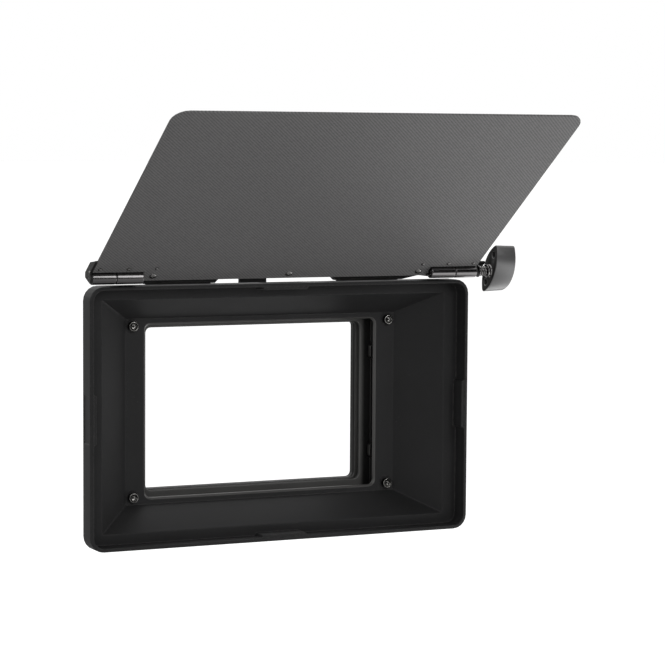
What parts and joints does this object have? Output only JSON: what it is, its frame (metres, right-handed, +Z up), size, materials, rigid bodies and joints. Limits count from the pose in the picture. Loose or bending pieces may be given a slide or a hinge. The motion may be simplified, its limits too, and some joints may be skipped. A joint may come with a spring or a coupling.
{
  "type": "matte box",
  "caption": "Rectangular lens hood with a stepped funnel, two filter slots behind it, a pull-out filter tray and a hinged top flag locked by a wing knob.",
  "frame": {"origin": "centre of the rear opening, in the plane of the rear plate's back face", "axes": "+Y along the optical axis to the rear, towards the lens; +Z up; +X to the right as seen from the front, towards the wing knob"},
  "size_m": [0.2544, 0.1793, 0.2359],
  "materials": {
    "hood_plastic": "fine moulded texture, black",
    "black_anodised": "bead blasted, black anodised",
    "black_steel": "blackened",
    "spring_steel": "dark spring steel",
    "dark_chrome": "dark polished",
    "woven_sheet": "fine diagonal weave under a satin coat, dark grey",
    "knob_plastic": "satin, dark grey",
    "tab_plastic": "satin, black"
  },
  "bodies": {
    "box": {"hood": "hood_plastic", "front_stage_frame": "black_anodised", "rear_stage_frame": "black_anodised", "rear_plate": "black_anodised", "stack_screw_lower_left": "black_steel", "stack_screw_lower_right": "black_steel", "stack_screw_upper_left": "black_steel", "stack_screw_upper_right": "black_steel", "leaf_spring_front_lower_left": "spring_steel", "leaf_spring_front_lower_right": "spring_steel", "leaf_spring_front_upper_left": "spring_steel", "leaf_spring_front_upper_right": "spring_steel", "leaf_spring_rear_lower_left": "spring_steel", "leaf_spring_rear_lower_right": "spring_steel", "leaf_spring_rear_upper_left": "spring_steel", "leaf_spring_rear_upper_right": "spring_steel", "flag_bracket_left": "black_anodised", "flag_bracket_right": "black_anodised", "bracket_screw_left_inner": "black_steel", "bracket_screw_left_outer": "black_steel", "bracket_screw_right_inner": "black_steel", "bracket_screw_right_outer": "black_steel", "knuckle_fixed_left": "dark_chrome", "knuckle_fixed_right": "dark_chrome", "hinge_pin": "dark_chrome"},
    "tray": {"filter_tray": "black_anodised", "filter_retainer": "black_anodised", "retainer_screw_left": "black_steel", "retainer_screw_right": "black_steel", "pull_tab": "tab_plastic"},
    "flag": {"flag_sheet": "woven_sheet", "hinge_bar": "black_anodised", "knuckle_flag_left": "dark_chrome", "knuckle_flag_right": "dark_chrome", "flag_rivet_left_1": "black_steel", "flag_rivet_left_2": "black_steel", "flag_rivet_left_3": "black_steel", "flag_rivet_right_1": "black_steel", "flag_rivet_right_2": "black_steel", "flag_rivet_right_3": "black_steel", "flag_screw_left": "black_steel", "flag_screw_middle": "black_steel", "flag_screw_right": "black_steel"},
    "knob": {"clamp_washer": "dark_chrome", "clamp_spring": "spring_steel", "clamp_collar": "dark_chrome", "clamp_spindle": "black_steel", "clamp_knob": "knob_plastic"}
  },
  "joints": [
    {"name": "flag_hinge", "type": "hinge", "parent": "box", "child": "flag", "pos_m": [0, -0.0595, 0.0765], "axis": [1, 0, 0], "range_deg": [-54, 127]},
    {"name": "knob_turn", "type": "hinge", "parent": "box", "child": "knob", "pos_m": [0, -0.0595, 0.0765], "axis": [1, 0, 0], "continuous": true},
    {"name": "tray_slide", "type": "slide", "parent": "box", "child": "tray", "axis": [0, 0, 1], "range_m": [0, 0.11]}
  ]
}
